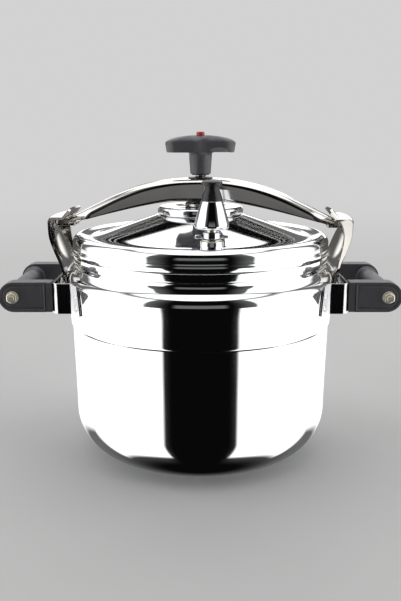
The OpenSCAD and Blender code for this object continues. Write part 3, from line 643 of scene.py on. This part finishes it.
skirt = [(weight_r - 4.5, 0), (weight_r - 2.2, 0.25), (weight_r - 1.0, 1.0), (weight_r - 0.2, 2.4),
         (weight_r, 3.7), (weight_r - 0.12, 5.2)]
skirt = flow(skirt, 3) + [(weight_r - 1.9, 11.3), (weight_r - 4.0, 18.8), (10.7, 25.6),
                          (10.3, 26.2), (8.6, 26.2), (8.6, 24), (weight_r - 5, 4)]
bm = on_axis(turned([(r, weight_z + z) for r, z in skirt], 96, closed=True), valve_at)
piece(bm, "weight_skirt_turned", "weight", chrome, ["weight_skirt"])

# Injection-moulded black plastic, glossy with a very light orange-peel.
plastic, tree, bsdf = new_material("gloss_black_plastic", Metallic=0.0, IOR=1.49)
place = put(tree, "TexCoord")
peel = put(tree, "TexNoise", {"Scale": 420.0, "Detail": 2.0}, {"Vector": place.outputs["Object"]})
tint = put(tree, "Mix", {6: srgb("#141416"), 7: srgb("#1d1d20")}, {0: peel.outputs[0]},
           data_type="RGBA")
gloss = put(tree, "MapRange", {1: 0.3, 2: 0.7, 3: 0.2, 4: 0.32}, {0: peel.outputs[0]})
skin = put(tree, "Bump", {"Strength": 0.4, "Distance": 1.5e-5}, {"Height": peel.outputs[0]})
tree.links.new(tint.outputs[2], bsdf.inputs["Base Color"])
tree.links.new(gloss.outputs[0], bsdf.inputs["Roughness"])
tree.links.new(skin.outputs[0], bsdf.inputs["Normal"])

cover = [(3.06, 8), (7.6, 8), (7.6, 24), (8.6, 24), (8.6, 26.2), (10.3, 26.2)]
cover += flow([(10.35, 26.5), (9.5, 30), (8.3, 34), (6.9, 37.6), (6.2, 39.4), (6.0, 40.5)], 3)
cover += [(0, 40.5), (0, 28.8), (1.3, 28.65), (3.06, 25.9)]
bm = on_axis(turned([(r, weight_z + z) for r, z in cover], 96, closed=True), valve_at)
piece(bm, "weight_cover_moulded", "weight", plastic, ["weight_cover"])
cap = [(0, 40.4), (6.0, 40.5)]
cap += flow([(6.0, 40.5), (8.6, 40.9), (9.7, 41.4), (10.1, 42.5), (9.7, 43.9), (8.4, 44.9),
             (5.5, 45.8), (2.5, 46.2), (0, 46.3)], 4)
bm = on_axis(turned([(r, weight_z + z) for r, z in cap], 96), valve_at)
piece(bm, "weight_cap_moulded", "weight", plastic, ["weight_cap"])


# ---- Safety valve ------------------------------------------------------------------
# A small brass plug at the rear of the lid with a red pin that pops up when the
# pressure is too high, held by a nut under the lid.
bm = hexagon(9, safe_z, safe_z + 3)
outwards = Matrix.Rotation(math.radians(safe_turn), 3, "Z")
bmesh.ops.rotate(bm, verts=bm.verts, cent=(0, 0, 0), matrix=outwards)
rounded(piece(on_axis(bm, safe_at), "safety_body_hex", "lid", brass), 0.3, 2)
plug = [(2.1, -10), (5, -10), (5, 1), (6.4, 1), (6.4, 4), (6.0, 4.4), (2.1, 4.4)]
bm = on_axis(turned([(r, safe_z + z) for r, z in plug], 48, closed=True), safe_at)
piece(bm, "safety_body_turned", "lid", brass, ["safety_body"])
keep(brass, "safety_nut")

# Glass-filled red nylon, the colour of a warning part.
red, tree, bsdf = new_material("red_nylon", Metallic=0.0, IOR=1.53)
place = put(tree, "TexCoord")
glass = put(tree, "TexNoise", {"Scale": 600.0, "Detail": 3.0}, {"Vector": place.outputs["Object"]})
tint = put(tree, "Mix", {6: srgb("#c8262b"), 7: srgb("#a91a20")}, {0: glass.outputs[0]},
           data_type="RGBA")
sheen = put(tree, "MapRange", {1: 0.3, 2: 0.7, 3: 0.28, 4: 0.42}, {0: glass.outputs[0]})
tree.links.new(tint.outputs[2], bsdf.inputs["Base Color"])
tree.links.new(sheen.outputs[0], bsdf.inputs["Roughness"])
pin = [(0, 4.5), (3.2, 4.5), (3.6, 4.9), (3.6, 5.6), (3.1, 6.05), (0, 6.1)]
stalk = [(0, -13.6), (3.4, -13.6), (3.4, -12), (2, -12), (2, 4.5)]
bm = on_axis(turned([(r, safe_z + z) for r, z in stalk + pin[1:]], 40), safe_at)
piece(bm, "safety_pin_moulded", "safety_pin", red, ["safety_pin"])


# ---- Yoke --------------------------------------------------------------------------
# A bridge pressed from polished stainless sheet: a channel with rounded shoulders and
# side skirts, arched over the lid, whose two end tongues slide under the hooks.
yoke_z = disc_z + 28.8
yoke_half = 20.0
yoke_t = 2.6
yoke_r = 6.0               # rounding of the long edges
yoke_l = pot_r + 1.5
yoke_end = plate_z + 0.1
yaw = Matrix.Rotation(math.radians(-4), 3, "Z")
slope = math.radians(25.9)
level = 10.0
arch_r = ((yoke_l - level) * math.tan(slope) - (yoke_z - yoke_end)) / (
    math.sin(slope) * math.tan(slope) - 1 + math.cos(slope))
arch_x = level + arch_r * math.sin(slope)


def arch_z(x):
    """Top line of the yoke: level, then a circular arch, then straight down."""
    x = abs(x)
    if x < level:
        return yoke_z
    if x < arch_x:
        return yoke_z + math.sqrt(arch_r ** 2 - (x - level) ** 2) - arch_r
    return yoke_z - arch_r * (1 - math.cos(slope)) - (x - arch_x) * math.tan(slope)


def hem_z(x):
    """Lower edge of the skirts."""
    run = max(0.0, (abs(x) / yoke_l - 0.2) / 0.8) ** 1.25
    return disc_z + 6.2 + (plate_z - 7 - disc_z - 6.2) * run


def half_width(x):
    """The channel narrows to a blunt nose near each end."""
    near = max(0.0, (abs(x) - yoke_l + 24) / 25)
    return yoke_half - 6 * near ** 1.3


# The same polished stainless as the hooks, with its belt marks along the yoke.
yoke_metal = sheet_metal("polished_stainless_yoke", "#dcdad7", "#c9c7c4", (0.06, 0.13),
                         (40, 900, 900), 1.5e-6)
bm = bmesh.new()
bmesh.ops.create_grid(bm, x_segments=96, y_segments=30, size=1)
for vert in bm.verts:
    x = vert.co.x * yoke_l
    t = vert.co.y
    w, top, low = half_width(x), arch_z(x), hem_z(x)
    s = abs(t) * 15                     # 0..5 flat top, 5..10 rounded shoulder, 10..15 skirt
    # the long edges are rounded more softly towards the ends
    r = min(yoke_r + 3.5 * min(1.0, abs(x) / 80), max(top - low - 0.4, 3.0))
    if s <= 5:
        y, z = (w - r) * s / 5, top
    elif s <= 10:
        a = math.radians(90 * (s - 5) / 5)
        y, z = w - r + r * math.sin(a), top - r + r * math.cos(a)
    else:
        y, z = w, top - r + (low - top + r) * (s - 10) / 5
    vert.co = (x * mm, math.copysign(y, t) * mm, max(z, low) * mm)
for s in (-1, 1):
    rim = [e for e in bm.edges if len(e.link_faces) == 1
           and all(abs(v.co.x - s * yoke_l * mm) < 1e-6 for v in e.verts)]
    tips = [v for e in rim for v in e.verts if sum(v in f.verts for f in rim) == 1]
    rim.append(bm.edges.new(tips))
    bmesh.ops.edgeloop_fill(bm, edges=rim)
bmesh.ops.remove_doubles(bm, verts=bm.verts, dist=1e-6)
bmesh.ops.recalc_face_normals(bm, faces=bm.faces)
up = max(bm.faces, key=lambda f: f.calc_center_median().z)
if up.normal.z < 0:
    bmesh.ops.reverse_faces(bm, faces=bm.faces)
bmesh.ops.rotate(bm, verts=bm.verts, cent=(0, 0, 0), matrix=yaw)
yoke = piece(bm, "yoke_channel", "yoke", yoke_metal, ["yoke"], sharp=50)
sheet = yoke.modifiers.new("sheet", "SOLIDIFY")
sheet.thickness = yoke_t * mm
sheet.offset = -1
sheet.use_even_offset = True
rounded(yoke, 0.6, 2, 50)
tongue_z = plate_z - 9.3
for side, s in (("right", 1), ("left", -1)):
    bm = bmesh.new()
    nose = arc(yoke_l + 11, -7, 5, -90, 0, 6) + arc(yoke_l + 11, 7, 5, 0, 90, 6)
    plan = [(yoke_l - 7, -11)] + nose + [(yoke_l - 7, 11)]
    face = bm.faces.new([bm.verts.new((x * mm, y * mm, tongue_z * mm)) for x, y in plan])
    extruded(bm, face, (0, 0, 9))
    if s < 0:
        about = Matrix.Rotation(math.pi, 3, "Z")
        bmesh.ops.rotate(bm, verts=bm.verts, cent=(0, 0, 0), matrix=about)
    bmesh.ops.rotate(bm, verts=bm.verts, cent=(0, 0, 0), matrix=yaw)
    rounded(piece(bm, f"yoke_tongue_{side}", "yoke", yoke_metal), 2.4, 5)

# The threaded bush pressed into the yoke: turned steel with a plain blackened collar on top.
bush_bore = 6.05
bush_low = yoke_z - yoke_t - 9
bush_metal = struck_metal("turned_free_cutting_steel", "#c9c8c6", "#aeadac", (0.2, 0.34),
                          0.5, 8e-6)
# Black-oxide steel: a dark even grey with a slight oily sheen.
black_steel = struck_metal("black_oxide_steel", "#4a4a4c", "#343436", (0.28, 0.42), 0.5, 8e-6)
bm = turned([(bush_bore, bush_low + 1), (14, bush_low + 1), (14, yoke_z - yoke_t),
             (bush_bore, yoke_z - yoke_t)], 48, closed=True)
for vert in bm.verts:                          # press the outside to a hexagon
    if vert.co.xy.length > 10 * mm:
        a = math.atan2(vert.co.y, vert.co.x) % (math.pi / 3) - math.pi / 6
        vert.co.xy *= math.cos(math.pi / 6) / math.cos(a)
rounded(piece(bm, "yoke_bush_hex", "yoke", bush_metal, sharp=15), 0.4, 2)
bm = turned([(bush_bore, bush_low), (10.5, bush_low), (10.5, yoke_z - 0.1),
             (12.6, yoke_z - 0.1), (13, yoke_z + 0.3), (12.6, yoke_z + 1.2),
             (bush_bore, yoke_z + 1.2)], 64, closed=True)
piece(bm, "yoke_bush_collar", "yoke", black_steel, ["yoke_bush"])


# ---- Clamping screw and foot -------------------------------------------------------
# A 12 mm steel screw moulded into the knob. Its free end turns in a swivelling foot,
# held by a spring clip, so that the foot presses without turning.
knob_z = yoke_z + 4.7
# Bare screw steel: grey, kept from rust by a film of oil that dulls it in patches.
screw_metal = struck_metal("oiled_screw_steel", "#a9a8a6", "#8c8b89", (0.22, 0.38), 0.6, 1e-5)
bm = threaded(5.98, disc_z + 9.2, knob_z + 20, 3.0, 32)
piece(bm, "clamp_screw_thread", "screw", screw_metal, ["clamp_screw"])
bm = turned([(0, disc_z + 1.25), (5, disc_z + 1.25), (5, disc_z + 9.6), (0, disc_z + 9.6)], 40)
piece(bm, "clamp_screw_spigot", "screw", screw_metal)
foot = [(0, 0), (15.2, 0)] + arc(15.6, 0.9, 0.9, -80, 0, 4) + [(16.5, 3)]
foot += flow([(16.3, 3.5), (14.8, 4.7), (11.8, 6.0), (9, 7.2)], 3)
foot += [(8.6, 7.4), (5.05, 7.4), (5.05, 2), (0, 2)]
bm = turned([(r, disc_z - 0.75 + z) for r, z in foot], 72)
piece(bm, "pressure_foot_turned", "foot", bush_metal, ["pressure_foot"])
keep(screw_metal, "foot_clip")
keep(black_steel, "screw_washer")


# ---- Knob --------------------------------------------------------------------------
# A moulded phenolic T-shaped knob: a tapered stem, two wings set off to opposite sides
# so that the fingers pull on a flat face, a crowned top, and a scoop under each wing.
knob_half = 37.2
wing_half = 11.6
wing_off = 1.6             # each wing stands off the middle by this
wing_z = knob_z + 22.4
face_h = 9.2               # height of the wings' upright faces
crown_h = 8.7


def wing_reach(a):
    """Distance from the axis to the edge of the round-ended bar in a direction."""
    c, s = abs(math.cos(a)), abs(math.sin(a))
    end = knob_half - wing_half
    if wing_half * c <= end * s:
        return wing_half / s
    return end * c + math.sqrt(max(0.0, wing_half ** 2 - (end * s) ** 2))


stem_top = 12.2
# (share of the way from the stem to the edge, height), then the crown from edge to axis;
# the rings are turned at 100 or 200 plus their share, and then drawn to the bar's outline
under = [(0.0, -1.2), (0.03, -0.3), (0.12, 0), (0.3, 0), (0.5, 0), (0.7, 0), (0.85, 0), (0.93, 0.0)]
edge = [(0.955, 0.25), (0.965, 0.9), (0.968, 2), (0.974, 3.5), (0.98, 5), (0.988, 6.5), (0.994, 8),
        (0.998, 8.8), (0.995, 9.4)]
crown = [(u, face_h + crown_h * math.sqrt(1 - u * u))
         for u in (0.985, 0.965, 0.93, 0.88, 0.81, 0.72, 0.6, 0.46, 0.3, 0.15, 0)]
stem = [(0, knob_z), (10.3, knob_z), (10.9, knob_z + 0.6), (11.1, knob_z + 4), (11.5, knob_z + 10),
        (11.9, knob_z + 16), (stem_top, wing_z - 1.8)]
rings = stem + [(100 + u, wing_z + z) for u, z in under + edge]
rings += [(200 + u, wing_z + z) for u, z in crown]
bm = turned([(r, z) for r, z in rings], 224)
for vert in bm.verts:
    r = vert.co.xy.length / mm
    if r < 50 and vert.co.z < (wing_z - 0.5) * mm or vert.co.z < (wing_z - 1.5) * mm:
        continue
    a = math.atan2(vert.co.y, vert.co.x)
    reach = wing_reach(a)
    if r >= 199.9:                         # a ring of the crown
        r = reach * (r - 200)
    elif r - 100 < 0.95:                   # a ring of the underside
        r = stem_top + (reach - stem_top) * max(0.0, r - 100)
    else:                                  # a ring of the upright face
        r = reach * (r - 100)
    x, y, z = r * math.cos(a), r * math.sin(a), vert.co.z / mm
    if r > 9:
        y += wing_off * math.tanh(x / 3.0) * min(1.0, (r - 9) / 4)
    # the scoop: front of the right wing, rear of the left one
    ahead = -math.copysign(1, x) * y
    gap = 1 - ((abs(x) - 20.0) / 11.0) ** 2
    if gap > 0 and ahead > -2 and z < wing_z + 6:
        lift = 5.2 * math.sqrt(gap) * min(1.0, (ahead + 2) / 9)
        z = max(z, wing_z + lift) if z < wing_z + lift else z
    vert.co = (x * mm, y * mm, z * mm)
bmesh.ops.recalc_face_normals(bm, faces=bm.faces)
piece(bm, "knob_moulded", "screw", phenolic, ["knob"], sharp=40)
cap = [(0, 36), (4.2, 36), (4.2, 42.2)] + arc(3.2, 42.6, 1.0, 0, 75, 4) + [(1.5, 43.9), (0, 44)]
bm = turned([(r, knob_z + z) for r, z in cap], 48)
piece(bm, "knob_cap_moulded", "screw", red, ["knob_cap"])


# ---- Floor, light and camera -------------------------------------------------------
# A plain pale floor that fades into the backdrop. Two tall soft banks stand either side of
# a dark gap behind the camera, with a bank high at the rear, one overhead, a low strip at
# the back, a grey card by the camera and a little spill from the floor.
bpy.ops.mesh.primitive_plane_add(size=60, location=(0, 0, 0))
floor = bpy.context.object
floor.name = "studio_floor"
floor_paint, tree, bsdf = new_material("pale_floor_paint", Metallic=0.0)
place = put(tree, "TexCoord")
patch = put(tree, "TexNoise", {"Scale": 3.0, "Detail": 2.0}, {"Vector": place.outputs["Object"]})
tint = put(tree, "Mix", {6: srgb("#b2b2b1"), 7: srgb("#acacac")}, {0: patch.outputs[0]},
           data_type="RGBA")
tree.links.new(tint.outputs[2], bsdf.inputs["Base Color"])
bsdf.inputs["Roughness"].default_value = 0.8
far = put(tree, "VectorMath", links={0: place.outputs["Object"]}, operation="LENGTH")
sweep = put(tree, "MapRange", {1: 0.55, 2: 3.2, 3: 0.0, 4: 1.0}, {0: far.outputs["Value"]},
            interpolation_type="SMOOTHERSTEP")
backdrop = srgb("#d2d2d2")
haze = put(tree, "Emission", {"Color": backdrop, "Strength": 1.0})
blend = put(tree, "MixShader", links={0: sweep.outputs[0], 1: bsdf.outputs[0], 2: haze.outputs[0]})
tree.links.new(blend.outputs[0], tree.nodes["Material Output"].inputs["Surface"])
floor.data.materials.append(floor_paint)
floor.visible_glossy = False

world = bpy.data.worlds.new("studio")
bpy.context.scene.world = world
world.use_nodes = True
tree = world.node_tree
tree.nodes.clear()
ray = put(tree, "TexCoord")
xyz = put(tree, "SeparateXYZ", links={0: ray.outputs["Generated"]})
back = put(tree, "Math", {1: -1.0}, {0: xyz.outputs[1]}, operation="MULTIPLY")
turn = put(tree, "Math", links={0: xyz.outputs[0], 1: back.outputs[0]}, operation="ARCTAN2")
aside = put(tree, "Math", links={0: turn.outputs[0]}, operation="ABSOLUTE")
height = put(tree, "Math", links={0: xyz.outputs[2]}, operation="ARCSINE")


def fade(value, low, high):
    """A soft edge between two angles in degrees, rising where low is under high."""
    return put(tree, "MapRange", {1: math.radians(low), 2: math.radians(high), 3: 0.0, 4: 1.0},
               {0: value.outputs[0]}, interpolation_type="SMOOTHSTEP").outputs[0]


def both(a, b, operation="MULTIPLY"):
    """Two masks together."""
    return put(tree, "Math", links={0: a, 1: b}, operation=operation).outputs[0]


def dimmed(mask, share):
    """A mask at part of its strength."""
    return put(tree, "Math", {1: share}, {0: mask}, operation="MULTIPLY").outputs[0]


# the two front banks stand further apart above the level of the lid's skirt
apart = put(tree, "MapRange", {1: math.radians(-13), 2: math.radians(-10), 3: 0.0,
                               4: math.radians(14)},
            {0: height.outputs[0]}, interpolation_type="SMOOTHSTEP")
inner = put(tree, "Math", links={0: aside.outputs[0], 1: apart.outputs[0]},
            operation="SUBTRACT")
sides = both(both(fade(inner, 31, 35), fade(aside, 124, 112)),
             both(fade(height, -58, -50), fade(height, 58, 44)))
wings = both(both(fade(inner, 31, 35), fade(aside, 179, 150)),
             both(fade(height, -32, -22), fade(height, -5, -11)))
rear = both(fade(aside, 128, 140), both(fade(height, 15, 22), fade(height, 75, 60)))
strip = both(fade(aside, 150, 160), both(fade(height, 0, 2), fade(height, 9, 7)))
above = fade(height, 54, 62)
banks = both(both(sides, wings, "MAXIMUM"), both(rear, above, "MAXIMUM"), "MAXIMUM")
banks = both(banks, strip, "MAXIMUM")
spill = dimmed(both(fade(aside, 25, 50), fade(height, -74, -36)), 0.09)
card = dimmed(both(fade(aside, 24, 18), both(fade(height, -8, -6), fade(height, 22, 14))), 0.1)
dim = both(both(spill, card, "MAXIMUM"), banks, "MAXIMUM")
dark, bright = 0.003, 1.75
glow = put(tree, "MapRange", {1: 0.0, 2: 1.0, 3: dark, 4: bright}, {0: dim})
lamp = put(tree, "Background", {"Color": (1.0, 1.0, 1.0, 1)}, {"Strength": glow.outputs[0]})
pale = put(tree, "Background", {"Color": backdrop, "Strength": 1.0})
sort = put(tree, "LightPath")
mix = put(tree, "MixShader", links={0: sort.outputs["Is Camera Ray"], 1: lamp.outputs[0],
                                    2: pale.outputs[0]})
put(tree, "OutputWorld", links={"Surface": mix.outputs[0]})

camera_data = bpy.data.cameras.new("camera")
camera_data.sensor_width = 36
camera_data.lens = 45.73
camera_data.clip_start = 0.01
camera = bpy.data.objects.new("camera", camera_data)
bpy.context.collection.objects.link(camera)
camera.location = (0, -0.820, 0.3479)
camera.rotation_euler = (math.pi / 2 - 0.222, 0, 0)
bpy.context.scene.camera = camera
bpy.context.scene.view_settings.view_transform = "Standard"
